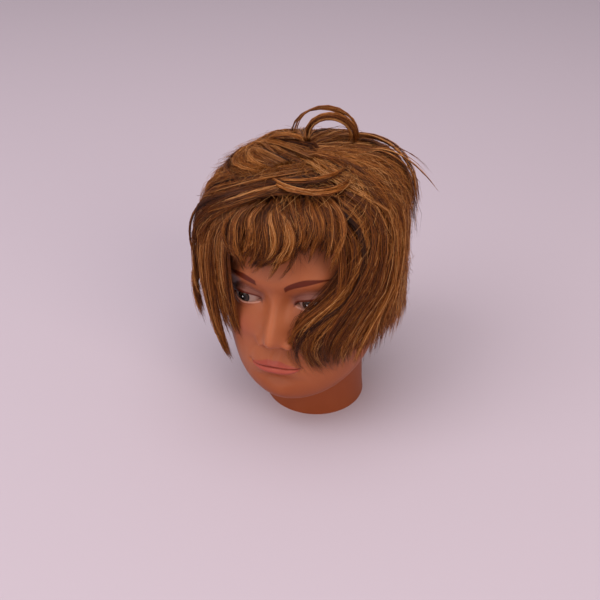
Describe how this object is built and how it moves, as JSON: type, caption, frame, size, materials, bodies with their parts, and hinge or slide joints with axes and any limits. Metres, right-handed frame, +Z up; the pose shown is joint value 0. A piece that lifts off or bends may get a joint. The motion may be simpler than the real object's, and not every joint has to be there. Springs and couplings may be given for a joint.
{
  "type": "mannequin training head",
  "caption": "Hair training head: tan vinyl face and neck with glass-like eyes, short tousled golden-brown hair, and a socket in the flat base for a table clamp.",
  "frame": {"origin": "on the resting plane, at the middle of the mouth of the clamp socket in the neck", "axes": "+Z up along the neck, the face looks along -Y, +X is the head's own left"},
  "size_m": [0.1929, 0.1941, 0.2587],
  "materials": {
    "vinyl": "soft satin, painted brows, lips and eye make-up",
    "eye": "polished",
    "foam": "cast rigid foam",
    "plastic": "moulded",
    "hair": "loose human or synthetic hair"
  },
  "bodies": {
    "root": {"vinyl_skin": "vinyl", "left_eye": "eye", "right_eye": "eye", "foam_core": "foam", "clamp_socket": "plastic", "base_plate": "plastic", "hair_fringe": "hair", "hair_left_front": "hair", "hair_left_side": "hair", "hair_back_left": "hair", "hair_back_right": "hair", "hair_right_side": "hair", "hair_right_front": "hair", "hair_nape_left": "hair", "hair_nape_right": "hair", "hair_crown": "hair", "hair_crown_loop": "hair", "hair_crown_loop_thin": "hair", "hair_stray_lock": "hair"}
  },
  "joints": []
}
